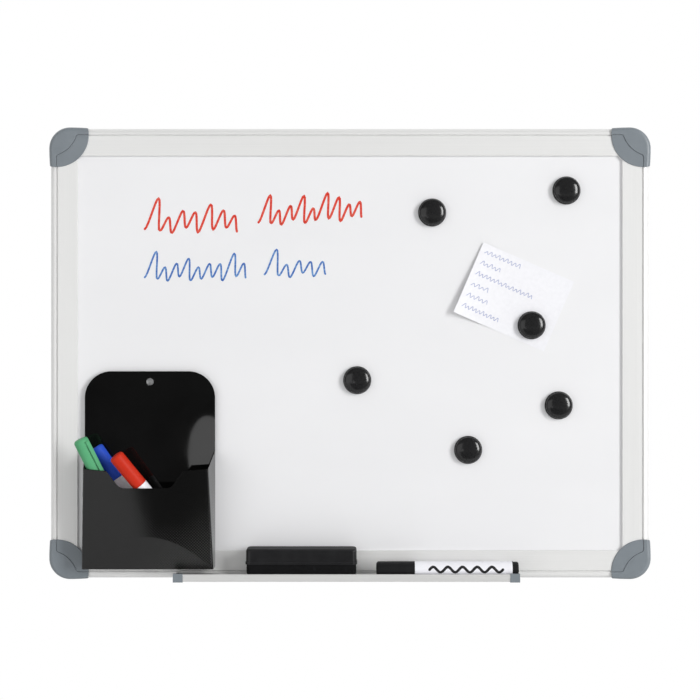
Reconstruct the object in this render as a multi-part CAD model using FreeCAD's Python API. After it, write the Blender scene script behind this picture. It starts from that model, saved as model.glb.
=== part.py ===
import FreeCAD, Part
import math
import os

from FreeCAD import Placement, Rotation, Vector

# Framed magnetic whiteboard: a steel-faced panel in an aluminium frame with plastic corners, a pen tray
# hooked on the bottom rail, a magnetic pen pocket, four markers, an eraser, six magnets and a paper note.
# X runs to the right, Z up and Y into the wall. The origin is the centre of the four wall fixings, on the
# wall plane. A depth is a distance from the wall towards the viewer, so Y is minus the depth.

# Whole board
BOARD_WIDTH = 600.0
BOARD_HEIGHT = 450.0
FRAME_DEPTH = 14.0

# Frame rail section, measured inward from the outer edge of the rail
RAIL_FACE = 27.5
RAIL_WALL = 1.6
LIP_RADIUS = 6.0
GROOVE_INSET = 6.4
GROOVE_WIDTH = 1.5
GROOVE_DEPTH = 1.6
SLOT_INSET = 14.0
BACK_LIP_REACH = 22.0

# Panel: steel sheet, core and backing in the slot of the rails
SURFACE_RECESS = 2.5
SHEET_THICKNESS = 0.5
CORE_THICKNESS = 8.0
BACKING_THICKNESS = 0.4
PANEL_GAP = 0.2

# Corner brackets and their snap-on covers, measured from the outer faces of the corner
CORNER_PROUD = 1.2
CORNER_RADIUS = 21.0
CORNER_DROP = 0.9
LEAF_CENTRE = 8.0
LEAF_RADIUS = 32.0
LEAF_THICKNESS = 1.0
LEAF_ROUND = 0.6
COVER_BAND = 7.6
COVER_DISC = 29.0
COVER_BLEND = 3.0
COVER_RISE = 1.6
COVER_ROUND = 4.5
HOLLOW_ROUND = 2.0
TIP_ROUND = 2.0
COVER_CLEARANCE = 0.2
COVER_BACK = 1.5
PARTING_GAP = 0.25
SEAT_WALL = 1.0
TONGUE_LENGTH = 25.0
TONGUE_CLEARANCE = 0.15
FIXING_INSET = 10.0
FIXING_DIAMETER = 5.0
HEAD_DIAMETER = 8.4
HEAD_SEAT = 7.0
PEG_ALONG = 18.5
PEG_INSET = 5.5
PEG_DIAMETER = 3.0
PEG_LENGTH = 8.0
PEG_CLEARANCE = 0.08

# Pen tray: tongue in the groove, leg in front of the lip, foot under the rail, floor and nose
TRAY_LENGTH = 340.0
TRAY_PLACE_SHARE = 0.481
TRAY_REACH = 32.0
TRAY_WALL = 1.4
TRAY_CLEARANCE = 0.2
FLOOR_DROP = 1.1
RIDGE_HEIGHT = 3.1
NOSE_THICKNESS = 2.4
NOSE_HEIGHT = 7.4
FOOT_REACH = 8.0
CAP_PLATE = 3.0
CAP_SOCKET = 6.6
CAP_LIP = 0.5
CAP_CLEARANCE = 0.1

# Eraser on the tray
ERASER_POCKET_GAP = 31.8
ERASER_LENGTH = 110.0
ERASER_DEPTH = 27.0
ERASER_CORNER = 5.0
ERASER_GAP = 0.3
FELT_HEIGHT = 12.1
FELT_INSET = 0.8
FELT_ROUND = 4.0
BASE_THICKNESS = 2.0
COVER_HEIGHT = 13.0
COVER_INSET = 0.5
COVER_WALL = 1.8
COVER_EDGE = 2.4
ERASER_MAGNET_LENGTH = 70.0
ERASER_MAGNET_WIDTH = 10.0
ERASER_MAGNET_HEIGHT = 4.0

# Markers, measured along the axis from the rear end
MARKER_LENGTH = 140.0
MARKER_DIAMETER = 14.6
MARKER_GAP = 18.7
PLUG_LENGTH = 6.3
PLUG_FLANGE = 0.8
PLUG_INSET = 0.5
PLUG_SPIGOT = 8.0
CAP_LENGTH = 37.8
CAP_ROUND = 1.6
CAP_TOP_ROUND = 3.0
CAP_END = 2.5
BARREL_WALL = 1.3
NECK_DIAMETER = 10.4
NECK_LENGTH = 12.0
NOSE_LENGTH = 8.0
NIB_DIAMETER = 4.0
NIB_REACH = 5.0
NIB_SHANK = 20.0
NIB_ROUND_SHARE = 0.3
NECK_CLEARANCE = 0.1
PRESS_CLEARANCE = 0.05
RESERVOIR_DIAMETER = 7.6
RESERVOIR_END_GAP = 1.0
CLIP_WIDTH = 4.0
CLIP_THICKNESS = 1.1
CLIP_STANDOFF = 0.9
CLIP_ROOT = 4.0
CLIP_OVERRUN = 2.0

# Pen pocket on the board's face
POCKET_WIDTH = 130.0
POCKET_HEIGHT = 195.0
POCKET_LEFT_GAP = 7.8
POCKET_FOOT = 12.0
POCKET_CORNER = 26.5
POCKET_SHEET = 1.2
POCKET_CLEARANCE = 0.4
HANG_HOLE_DIAMETER = 7.2
HANG_HOLE_DROP = 10.5
POUCH_SHEET = 1.0
POUCH_BACK_HEIGHT = 115.0
POUCH_FRONT_HEIGHT = 99.0
POUCH_FOOT_DEPTH = 19.0
POUCH_MOUTH_DEPTH = 35.0
POUCH_MOUTH_INSET = 4.4
POUCH_BULGE = 7.0
POUCH_FLAP_RISE = 20.0
POUCH_EDGE = 2.5
NOTCH_DEPTH = 17.5
NOTCH_TOP_WIDTH = 76.0
NOTCH_FOOT_WIDTH = 50.0
NOTCH_ROUND = 9.0
STRIP_LENGTH = 100.0
STRIP_WIDTH = 15.0
STRIP_DROP = 20.0
STRIP_RAISE = 30.0
CONTACT_GAP = 0.05

# Markers in the pocket: how far each rear end stands from the pocket's left edge as a share of its width,
# its lean to the left and its lean to the viewer
POCKET_MARKER_SHARES = {"green": 0.457, "blue": 0.706, "red": 0.925}
MARKER_LEAN = {"green": 24.8, "blue": 34.5, "red": 36.9}
MARKER_TIP = {"green": 9.5, "blue": 0.0, "red": 13.7}
CLIP_TURN = {"green": -40.0, "blue": 90.0, "red": 90.0, "black": 90.0}
MARKER_FOOT_GAP = 0.3
MARKER_BACK_GAP = 0.5

# Magnets
MAGNET_DIAMETER = 28.0
MAGNET_HEIGHT = 8.6
MAGNET_SKIRT = 2.6
MAGNET_STEP = 0.5
MAGNET_SHOULDER_HEIGHT = 7.9
MAGNET_SHOULDER_INSET = 3.6
MAGNET_SHOULDER_START = 4.6
MAGNET_TOP_ROUND_SHARE = 0.3
DISC_DIAMETER = 20.0
DISC_THICKNESS = 4.0
MAGNET_PLACE_SHARES = {
    "a": (0.137, 0.313),
    "b": (0.361, 0.362),
    "d": (0.012, -0.060),
    "e": (0.348, -0.116),
    "f": (0.197, -0.215),
}

# Paper note under magnet c: its upper left corner as shares of the board from the centre, its turn and lift
NOTE_WIDTH = 99.0
NOTE_HEIGHT = 76.0
NOTE_THICKNESS = 0.2
NOTE_CORNER_SHARES = (0.2227, 0.2467)
NOTE_TURN = 23.5
NOTE_FLAT_SHARE = 0.48
NOTE_LIFT_TOP = 1.6
NOTE_LIFT_FOOT = 7.0
NOTE_MAGNET_SHARES = (0.78, 0.75)

# Depths that follow from the sizes above
FACE = FRAME_DEPTH - SURFACE_RECESS
CORE_FRONT = FACE - SHEET_THICKNESS
CORE_BACK = CORE_FRONT - CORE_THICKNESS
PANEL_BACK = CORE_BACK - BACKING_THICKNESS
SLOT_FRONT = FACE + PANEL_GAP
SLOT_BACK = PANEL_BACK - PANEL_GAP
CHAMBER_FRONT = FRAME_DEPTH - GROOVE_DEPTH - RAIL_WALL
LEAF_FRONT = FRAME_DEPTH + LEAF_THICKNESS
COVER_FRONT = FRAME_DEPTH + COVER_RISE
POCKET_BACK = LEAF_FRONT + POCKET_CLEARANCE
POCKET_FRONT = POCKET_BACK + POCKET_SHEET

LEFT = -BOARD_WIDTH / 2
BOTTOM = -BOARD_HEIGHT / 2
pocket_left = LEFT + RAIL_FACE + POCKET_LEFT_GAP
pocket_right = pocket_left + POCKET_WIDTH
pocket_middle = pocket_left + POCKET_WIDTH / 2
pocket_foot = BOTTOM + POCKET_FOOT
pocket_top = pocket_foot + POCKET_HEIGHT
RIGHTWARD = Vector(1, 0, 0)
INTO_WALL = Vector(0, 1, 0)
UPWARD = Vector(0, 0, 1)

nodes = {}


def closed_wire(start, *steps):
    """Closed wire from a start point; a step is a point for a line, or a (middle, end) pair for an arc."""
    edges = []
    here = start
    for step in steps:
        if isinstance(step, tuple):
            middle, end = step
            edges.append(Part.Arc(here, middle, end).toShape())
        else:
            end = step
            edges.append(Part.makeLine(here, end))
        here = end
    if here.distanceToPoint(start) > 0:
        edges.append(Part.makeLine(here, start))
    return Part.Wire(edges)


def front_prism(wire_at, back, front):
    """Solid between two depths from a function that draws its outline at a depth."""
    return Part.Face(wire_at(back)).extrude(-INTO_WALL * (front - back))


def block(x0, x1, back, front, z0, z1):
    """Box given by its sides, its two depths and its two heights."""
    return Part.makeBox(x1 - x0, front - back, z1 - z0, Vector(x0, -front, z0))


def rounded_block(x0, x1, back, front, z0, z1, corner):
    """Box with its four upright edges rounded."""
    solid = block(x0, x1, back, front, z0, z1)
    upright = [edge for edge in solid.Edges
               if edge.tangentAt(edge.FirstParameter).cross(UPWARD).Length == 0]
    return solid.makeFillet(corner, upright)


def flat_edges(solid, height):
    """Edges of a solid that lie wholly at one height."""
    return [edge for edge in solid.Edges if edge.BoundBox.ZLength < PRESS_CLEARANCE
            and abs(edge.BoundBox.ZMax - height) < PRESS_CLEARANCE]


# Frame rails: one section, drawn for the bottom rail and turned to the other sides
def rail(length, half_span):
    def point(inset, depth):
        return Vector(-length / 2, -depth, inset - half_span)

    lip = LIP_RADIUS * (1 - math.sqrt(1 / 2))
    groove_end = GROOVE_INSET + GROOVE_WIDTH
    outside = closed_wire(
        point(0, 0),
        point(0, FRAME_DEPTH - LIP_RADIUS),
        (point(lip, FRAME_DEPTH - lip), point(LIP_RADIUS, FRAME_DEPTH)),
        point(GROOVE_INSET, FRAME_DEPTH),
        point(GROOVE_INSET, FRAME_DEPTH - GROOVE_DEPTH),
        point(groove_end, FRAME_DEPTH - GROOVE_DEPTH),
        point(groove_end, FRAME_DEPTH),
        point(RAIL_FACE, FRAME_DEPTH),
        point(RAIL_FACE, SLOT_FRONT),
        point(SLOT_INSET, SLOT_FRONT),
        point(SLOT_INSET, SLOT_BACK),
        point(BACK_LIP_REACH, SLOT_BACK),
        point(BACK_LIP_REACH, 0),
    )
    chamber = closed_wire(
        point(RAIL_WALL, RAIL_WALL),
        point(SLOT_INSET - RAIL_WALL, RAIL_WALL),
        point(SLOT_INSET - RAIL_WALL, CHAMBER_FRONT),
        point(RAIL_WALL, CHAMBER_FRONT),
    )
    solid = Part.Face(outside).extrude(RIGHTWARD * length)
    return solid.cut(Part.Face(chamber).extrude(RIGHTWARD * length))


def turned(shape, angle):
    copy = shape.copy()
    copy.rotate(Vector(0, 0, 0), INTO_WALL, angle)
    return copy


across = rail(BOARD_WIDTH - 2 * RAIL_FACE, BOARD_HEIGHT / 2)
upright = rail(BOARD_HEIGHT - 2 * RAIL_FACE, BOARD_WIDTH / 2)
nodes["frame_rail_bottom"] = across
nodes["frame_rail_left"] = turned(upright, 90)
nodes["frame_rail_top"] = turned(across, 180)
nodes["frame_rail_right"] = turned(upright, 270)

# Panel layers, each in the slot of the rails
panel_half_width = BOARD_WIDTH / 2 - SLOT_INSET - PANEL_GAP
panel_half_height = BOARD_HEIGHT / 2 - SLOT_INSET - PANEL_GAP


def panel_layer(back, front):
    return block(-panel_half_width, panel_half_width, back, front, -panel_half_height, panel_half_height)


nodes["writing_sheet"] = panel_layer(CORE_FRONT, FACE)
nodes["board_core"] = panel_layer(CORE_BACK, CORE_FRONT)
nodes["backing_sheet"] = panel_layer(PANEL_BACK, CORE_BACK)


# Corners, drawn at the lower left from the outer faces of the corner and mirrored to the others
def corner_point(along, up, depth):
    return Vector(LEFT - CORNER_PROUD + along, -depth, BOTTOM - CORNER_PROUD + up)


leaf_end = LEAF_CENTRE + LEAF_RADIUS


def corner_square(inset, end, back, front, edge_round, drop=0):
    """Square block with the outer corner rounded, its outer sides drawn in by a drop towards their ends and,
    where wanted, a rounded front outer edge."""
    radius = CORNER_RADIUS - inset
    bend = inset + radius * (1 - math.sqrt(1 / 2))
    start = inset + radius
    middle = (start + end) / 2
    quarter = inset + drop / 4

    def outline(depth):
        first_end = corner_point(end, inset + drop, depth)
        second_start = corner_point(start, inset, depth)
        second_end = corner_point(inset, start, depth)
        first = (corner_point(middle, quarter, depth), first_end) if drop > 0 else first_end
        second = (corner_point(quarter, middle, depth), second_end) if drop > 0 else second_end
        return closed_wire(
            second_start,
            first,
            corner_point(end, end, depth),
            corner_point(inset + drop, end, depth),
            second,
            (corner_point(bend, bend, depth), second_start),
        )

    solid = front_prism(outline, back, front)
    if edge_round == 0:
        return solid
    far = corner_point(end, end, front)
    outer = [edge for edge in solid.Edges
             if edge.BoundBox.YLength < PRESS_CLEARANCE
             and abs(edge.BoundBox.YMin - far.y) < PRESS_CLEARANCE
             and edge.BoundBox.XMin < far.x - PRESS_CLEARANCE
             and edge.BoundBox.ZMin < far.z - PRESS_CLEARANCE]
    return solid.makeFillet(edge_round, outer)


def leaf_cylinder(back, front):
    centre = corner_point(LEAF_CENTRE, LEAF_CENTRE, back)
    return Part.makeCylinder(LEAF_RADIUS, front - back, centre, -INTO_WALL)


def cover_region(grow, back, front):
    """Outer side of the S-shaped parting line, moved inward by a gap."""
    band = COVER_BAND + grow
    disc = COVER_DISC + grow
    blend = COVER_BLEND - grow
    rise = band + blend
    reach = math.sqrt((disc + blend) ** 2 - rise ** 2)
    touch = disc / (disc + blend)
    toward = Vector(-reach, 0, -rise).normalize()
    middle = (toward + Vector(0, 0, -1)).normalize() * blend
    outside = -CORNER_PROUD

    def outline(depth):
        return closed_wire(
            corner_point(outside, outside, depth),
            corner_point(leaf_end + CORNER_PROUD, outside, depth),
            corner_point(leaf_end + CORNER_PROUD, band, depth),
            corner_point(reach, band, depth),
            (corner_point(reach + middle.x, rise + middle.z, depth),
             corner_point(reach * touch, rise * touch, depth)),
            (corner_point(disc * math.sqrt(1 / 2), disc * math.sqrt(1 / 2), depth),
             corner_point(rise * touch, reach * touch, depth)),
            (corner_point(rise + middle.z, reach + middle.x, depth), corner_point(band, reach, depth)),
            corner_point(band, leaf_end + CORNER_PROUD, depth),
            corner_point(outside, leaf_end + CORNER_PROUD, depth),
        )

    return front_prism(outline, back, front)


def peg_cylinder(along, up, diameter, back, front):
    return Part.makeCylinder(diameter / 2, front - back, corner_point(along, up, back), -INTO_WALL)


seat = SLOT_FRONT + SEAT_WALL
skin_back = FRAME_DEPTH + COVER_CLEARANCE
peg_places = [
    (CORNER_PROUD + PEG_ALONG, CORNER_PROUD + PEG_INSET),
    (CORNER_PROUD + PEG_INSET, CORNER_PROUD + PEG_ALONG),
]


def tip_trims():
    """What lies outside the rounded tips of a cover, one at the end of each arm."""
    core = LEAF_RADIUS - TIP_ROUND
    along = LEAF_CENTRE + math.sqrt(core ** 2 - (LEAF_CENTRE - TIP_ROUND) ** 2)
    drop_share = (along - CORNER_RADIUS) / (leaf_end + CORNER_PROUD - CORNER_RADIUS)
    up = CORNER_DROP * drop_share ** 2 + TIP_ROUND
    along = LEAF_CENTRE + math.sqrt(core ** 2 - (LEAF_CENTRE - up) ** 2)
    high = up - TIP_ROUND * (LEAF_CENTRE - up) / core
    low = -CORNER_PROUD
    lower = Part.makeBox(LEAF_RADIUS, COVER_FRONT, high - low, corner_point(along, low, COVER_FRONT))
    upper = Part.makeBox(high - low, COVER_FRONT, LEAF_RADIUS, corner_point(low, along, COVER_FRONT))
    return [
        lower.cut(peg_cylinder(along, up, 2 * TIP_ROUND, 0, COVER_FRONT)),
        upper.cut(peg_cylinder(up, along, 2 * TIP_ROUND, 0, COVER_FRONT)),
    ]


def corner_cover():
    skirt = CORNER_PROUD - COVER_CLEARANCE
    shell = corner_square(0, leaf_end + CORNER_PROUD, COVER_BACK, COVER_FRONT, COVER_ROUND, CORNER_DROP)
    shell = shell.common(leaf_cylinder(COVER_BACK, COVER_FRONT))
    shell = shell.common(cover_region(0, COVER_BACK, COVER_FRONT))
    hollow = corner_square(skirt, leaf_end + LEAF_RADIUS, 0, skin_back, HOLLOW_ROUND)
    shell = shell.cut(hollow)
    for trim in tip_trims():
        shell = shell.cut(trim)
    for along, up in peg_places:
        peg_root = COVER_FRONT - LEAF_THICKNESS
        shell = shell.fuse(peg_cylinder(along, up, PEG_DIAMETER, skin_back - PEG_LENGTH, peg_root))
    return shell.removeSplitter()


def corner_bracket():
    block_end = CORNER_PROUD + RAIL_FACE
    slot = CORNER_PROUD + SLOT_INSET
    body = corner_square(CORNER_PROUD, block_end, 0, FRAME_DEPTH, 0)
    body = body.cut(cover_region(PARTING_GAP, seat, COVER_FRONT))
    panel_corner = corner_point(slot, slot, SLOT_FRONT)
    body = body.cut(Part.makeBox(RAIL_FACE, SLOT_FRONT - SLOT_BACK, RAIL_FACE, panel_corner))
    fixing = CORNER_PROUD + FIXING_INSET
    body = body.cut(peg_cylinder(fixing, fixing, FIXING_DIAMETER, 0, FRAME_DEPTH))
    body = body.cut(peg_cylinder(fixing, fixing, HEAD_DIAMETER, HEAD_SEAT, FRAME_DEPTH))
    for along, up in peg_places:
        hole = PEG_DIAMETER + 2 * PEG_CLEARANCE
        hole_foot = skin_back - PEG_LENGTH - COVER_CLEARANCE
        body = body.cut(peg_cylinder(along, up, hole, hole_foot, FRAME_DEPTH))
    leaf = corner_square(0, leaf_end + CORNER_PROUD, FRAME_DEPTH, LEAF_FRONT, 0)
    leaf = leaf.common(leaf_cylinder(FRAME_DEPTH, LEAF_FRONT))
    leaf = leaf.cut(cover_region(PARTING_GAP, 0, COVER_FRONT))
    rim = [edge for edge in leaf.Edges
           if hasattr(edge.Curve, "Radius") and abs(edge.Curve.Radius - LEAF_RADIUS) < PRESS_CLEARANCE
           and abs(edge.BoundBox.YMin + LEAF_FRONT) < PRESS_CLEARANCE
           and edge.BoundBox.YLength < PRESS_CLEARANCE]
    body = body.fuse(leaf.makeFillet(LEAF_ROUND, rim))
    low = CORNER_PROUD + RAIL_WALL + TONGUE_CLEARANCE
    side = SLOT_INSET - 2 * RAIL_WALL - 2 * TONGUE_CLEARANCE
    front = CHAMBER_FRONT - TONGUE_CLEARANCE
    depth = front - RAIL_WALL - TONGUE_CLEARANCE
    body = body.fuse(Part.makeBox(TONGUE_LENGTH, depth, side, corner_point(block_end, low, front)))
    body = body.fuse(Part.makeBox(side, depth, TONGUE_LENGTH, corner_point(low, block_end, front)))
    return body.removeSplitter()


def to_all_corners(name, shape):
    sideways = shape.mirror(Vector(0, 0, 0), RIGHTWARD)
    nodes[name + "_bl"] = shape
    nodes[name + "_br"] = sideways
    nodes[name + "_tl"] = shape.mirror(Vector(0, 0, 0), UPWARD)
    nodes[name + "_tr"] = sideways.mirror(Vector(0, 0, 0), UPWARD)


to_all_corners("corner_bracket", corner_bracket())
to_all_corners("corner_cover", corner_cover())

# Pen tray
tongue_top = BOTTOM + GROOVE_INSET + GROOVE_WIDTH - TRAY_CLEARANCE
tongue_foot = BOTTOM + GROOVE_INSET + TRAY_CLEARANCE
tongue_tip = FRAME_DEPTH - GROOVE_DEPTH + TRAY_CLEARANCE
leg_back = FRAME_DEPTH + TRAY_CLEARANCE
leg_front = leg_back + TRAY_WALL
floor = tongue_foot - FLOOR_DROP
floor_under = floor - TRAY_WALL
ridge = floor + RIDGE_HEIGHT
nose_front = FRAME_DEPTH + TRAY_REACH
nose_back = nose_front - NOSE_THICKNESS
nose_round = NOSE_THICKNESS / 2
nose_foot = ridge - NOSE_HEIGHT
foot_top = BOTTOM - TRAY_CLEARANCE
foot_under = foot_top - TRAY_WALL
corner_reach = leaf_end - CORNER_PROUD
tray_room = BOARD_WIDTH - 2 * corner_reach - TRAY_LENGTH
tray_left = LEFT + corner_reach + TRAY_PLACE_SHARE * tray_room
tray_middle = tray_left + TRAY_LENGTH / 2


def tray_section(x):
    def point(depth, z):
        return Vector(x, -depth, z)

    nose_middle = nose_back + nose_round
    return Part.Face(closed_wire(
        point(tongue_tip, tongue_top),
        point(leg_front, tongue_top),
        point(leg_front, floor),
        point(nose_back, floor),
        point(nose_back, ridge - nose_round),
        (point(nose_middle, ridge), point(nose_front, ridge - nose_round)),
        point(nose_front, nose_foot + nose_round),
        (point(nose_middle, nose_foot), point(nose_back, nose_foot + nose_round)),
        point(nose_back, floor_under),
        point(leg_front, floor_under),
        point(leg_front, foot_under),
        point(leg_back - FOOT_REACH, foot_under),
        point(leg_back - FOOT_REACH, foot_top),
        point(leg_back, foot_top),
        point(leg_back, tongue_foot),
        point(tongue_tip, tongue_foot),
    ))


nodes["tray_rail"] = tray_section(tray_left + CAP_PLATE).extrude(RIGHTWARD * (TRAY_LENGTH - 2 * CAP_PLATE))


def tray_end_cap():
    """Left end cap: a closing plate with a socket over the nose and a plug under the floor."""
    inner = tray_left + CAP_PLATE + CAP_SOCKET
    low = nose_foot - CAP_LIP
    solid = block(tray_left, inner, leg_back, nose_front + CAP_LIP, low, floor)
    hood = rounded_block(tray_left, inner, nose_back - CAP_LIP, nose_front + CAP_LIP,
                         low, ridge + CAP_LIP, CAP_LIP)
    solid = solid.fuse(hood)
    section = tray_section(tray_left + CAP_PLATE).makeOffset2D(CAP_CLEARANCE)
    return solid.cut(section.extrude(RIGHTWARD * (CAP_SOCKET + CAP_PLATE))).removeSplitter()


nodes["tray_end_cap_left"] = tray_end_cap()
nodes["tray_end_cap_right"] = tray_end_cap().mirror(Vector(tray_middle, 0, 0), RIGHTWARD)

# Eraser
eraser_left = pocket_right + ERASER_POCKET_GAP
eraser_right = eraser_left + ERASER_LENGTH
eraser_back = leg_front + ERASER_GAP
eraser_front = eraser_back + ERASER_DEPTH
felt_foot = floor + CONTACT_GAP
felt_top = felt_foot + FELT_HEIGHT
base_top = felt_top + BASE_THICKNESS
cover_top = base_top + COVER_HEIGHT


def eraser_block(inset, z0, z1):
    return rounded_block(eraser_left + inset, eraser_right - inset,
                         eraser_back + inset, eraser_front - inset, z0, z1, ERASER_CORNER)


felt = eraser_block(FELT_INSET, felt_foot, felt_top)
nodes["eraser_felt"] = felt.makeFillet(FELT_ROUND, flat_edges(felt, felt_foot))
nodes["eraser_base"] = eraser_block(0, felt_top, base_top)
cover = eraser_block(COVER_INSET, base_top, cover_top)
cover = cover.makeFillet(COVER_EDGE, flat_edges(cover, cover_top))
room = rounded_block(eraser_left + COVER_INSET + COVER_WALL, eraser_right - COVER_INSET - COVER_WALL,
                     eraser_back + COVER_INSET + COVER_WALL, eraser_front - COVER_INSET - COVER_WALL,
                     base_top, cover_top - COVER_WALL, ERASER_CORNER - COVER_WALL)
nodes["eraser_cover"] = cover.cut(room)
eraser_middle = (eraser_left + eraser_right) / 2
eraser_centre = (eraser_back + eraser_front) / 2
nodes["eraser_magnet"] = block(
    eraser_middle - ERASER_MAGNET_LENGTH / 2, eraser_middle + ERASER_MAGNET_LENGTH / 2,
    eraser_centre - ERASER_MAGNET_WIDTH / 2, eraser_centre + ERASER_MAGNET_WIDTH / 2,
    base_top, base_top + ERASER_MAGNET_HEIGHT)

# Markers: drawn upright on the Z axis with the rear end at the origin, then placed
marker_radius = MARKER_DIAMETER / 2
cap_start = MARKER_LENGTH - CAP_LENGTH
neck_end = cap_start + NECK_LENGTH
nose_end = neck_end + NOSE_LENGTH
bore_radius = marker_radius - BARREL_WALL
ink_radius = RESERVOIR_DIAMETER / 2
ink_start = PLUG_LENGTH + PLUG_SPIGOT + RESERVOIR_END_GAP


def rod(radius, z0, z1):
    return Part.makeCylinder(radius, z1 - z0, Vector(0, 0, z0))


def marker_barrel():
    neck = NECK_DIAMETER / 2
    mouth = NIB_DIAMETER / 2 + BARREL_WALL
    solid = rod(marker_radius, PLUG_LENGTH, cap_start - NECK_CLEARANCE)
    solid = solid.fuse(rod(neck, PLUG_LENGTH, neck_end))
    solid = solid.fuse(Part.makeCone(neck, mouth, NOSE_LENGTH, Vector(0, 0, neck_end)))
    solid = solid.cut(rod(bore_radius, PLUG_LENGTH, PLUG_LENGTH + PLUG_SPIGOT))
    solid = solid.cut(rod(ink_radius + PRESS_CLEARANCE, PLUG_LENGTH, neck_end))
    return solid.cut(rod(NIB_DIAMETER / 2 + PRESS_CLEARANCE, neck_end, nose_end)).removeSplitter()


def marker_plug():
    solid = rod(marker_radius - PLUG_INSET, 0, PLUG_LENGTH)
    solid = solid.makeFillet(CAP_ROUND, flat_edges(solid, 0))
    solid = solid.fuse(rod(marker_radius, PLUG_LENGTH - PLUG_FLANGE, PLUG_LENGTH))
    spigot = rod(bore_radius - PRESS_CLEARANCE, PLUG_FLANGE, PLUG_LENGTH + PLUG_SPIGOT)
    return solid.fuse(spigot).removeSplitter()


def marker_nib():
    nib = rod(NIB_DIAMETER / 2, neck_end - NIB_SHANK, nose_end + NIB_REACH)
    return nib.makeFillet(NIB_DIAMETER * NIB_ROUND_SHARE, flat_edges(nib, nose_end + NIB_REACH))


def marker_reservoir():
    body = rod(ink_radius, ink_start, neck_end - RESERVOIR_END_GAP)
    return body.cut(rod(NIB_DIAMETER / 2 + PRESS_CLEARANCE, neck_end - NIB_SHANK, neck_end))


def marker_cap(clip_turn):
    shell = rod(marker_radius, cap_start, MARKER_LENGTH)
    shell = shell.makeFillet(CAP_TOP_ROUND, flat_edges(shell, MARKER_LENGTH))
    clip_reach = marker_radius + CLIP_STANDOFF + CLIP_THICKNESS
    clip = Part.makeBox(CLIP_THICKNESS, CLIP_WIDTH, CAP_LENGTH - CLIP_ROOT + CLIP_OVERRUN,
                        Vector(marker_radius + CLIP_STANDOFF, -CLIP_WIDTH / 2, cap_start - CLIP_OVERRUN))
    root = Part.makeBox(clip_reach, CLIP_WIDTH, CLIP_ROOT,
                        Vector(0, -CLIP_WIDTH / 2, MARKER_LENGTH - 2 * CLIP_ROOT))
    solid = shell.fuse(clip).fuse(root)
    room = rod(NECK_DIAMETER / 2 + NECK_CLEARANCE, cap_start, MARKER_LENGTH - CAP_END)
    solid = solid.cut(room).removeSplitter()
    solid.rotate(Vector(0, 0, 0), UPWARD, clip_turn)
    return solid


def add_marker(colour, placement):
    pieces = {
        "barrel": marker_barrel(),
        "end_plug": marker_plug(),
        "nib": marker_nib(),
        "ink_reservoir": marker_reservoir(),
        "cap": marker_cap(CLIP_TURN[colour]),
    }
    for piece, shape in pieces.items():
        nodes[colour + "_marker_" + piece] = shape.transformed(placement.toMatrix())


black_rear = eraser_right + MARKER_GAP + MARKER_LENGTH
black_depth = nose_back - marker_radius - ERASER_GAP
black_height = floor + CONTACT_GAP + marker_radius
black_place = Placement(Vector(black_rear, -black_depth, black_height), Rotation(INTO_WALL, -90))
add_marker("black", black_place)


# Pen pocket
def pocket_back():
    plate = block(pocket_left, pocket_right, POCKET_BACK, POCKET_FRONT, pocket_foot, pocket_top)
    upper = [edge for edge in plate.Edges
             if edge.BoundBox.YLength > PRESS_CLEARANCE
             and edge.BoundBox.ZMin > pocket_top - PRESS_CLEARANCE]
    plate = plate.makeFillet(POCKET_CORNER, upper)
    hole = Part.makeCylinder(HANG_HOLE_DIAMETER / 2, POCKET_SHEET,
                             Vector(pocket_middle, -POCKET_BACK, pocket_top - HANG_HOLE_DROP), -INTO_WALL)
    return plate.cut(hole)


def pouch_section(inset, share):
    """Outline of the pouch at a share of its height: straight sides, front bowed outward."""
    z = pocket_foot + share * POUCH_BACK_HEIGHT
    depth = POUCH_FOOT_DEPTH + share * (POUCH_MOUTH_DEPTH - POUCH_FOOT_DEPTH) - inset
    half_back = POCKET_WIDTH / 2 - inset
    half_front = half_back - share * POUCH_MOUTH_INSET
    front = POCKET_FRONT + depth

    def point(x, at):
        return Vector(pocket_middle + x, -at, z)

    return closed_wire(
        point(-half_back, POCKET_FRONT),
        point(half_back, POCKET_FRONT),
        point(half_front, front),
        (point(0, front + POUCH_BULGE), point(-half_front, front)),
        point(-half_back, POCKET_FRONT),
    )


def pouch_volume(inset):
    """Filled pouch, its walls moved inward by an inset, with the slanting flap at its foot cut off."""
    solid = Part.makeLoft([pouch_section(inset, 0), pouch_section(inset, 1)], True, True)
    creases = [edge for edge in solid.Edges
               if edge.BoundBox.ZLength > POUCH_FLAP_RISE
               and edge.BoundBox.YMax < -POCKET_FRONT - PRESS_CLEARANCE]
    solid = solid.makeFillet(POUCH_EDGE - inset, creases)
    slope = POUCH_FLAP_RISE / POUCH_BULGE
    corner = POCKET_FRONT + POUCH_FOOT_DEPTH - inset
    reach = POUCH_MOUTH_DEPTH
    low = pocket_foot + (inset if inset > 0 else 0)

    def point(depth, z):
        return Vector(pocket_left - POUCH_EDGE, -depth, z)

    wedge = Part.Face(closed_wire(
        point(corner, low),
        point(corner + reach, low + reach * slope),
        point(corner + reach, pocket_foot - reach),
        point(corner - reach, pocket_foot - reach),
        point(corner - reach, low),
    ))
    return solid.cut(wedge.extrude(RIGHTWARD * (POCKET_WIDTH + 2 * POUCH_EDGE)))


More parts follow.
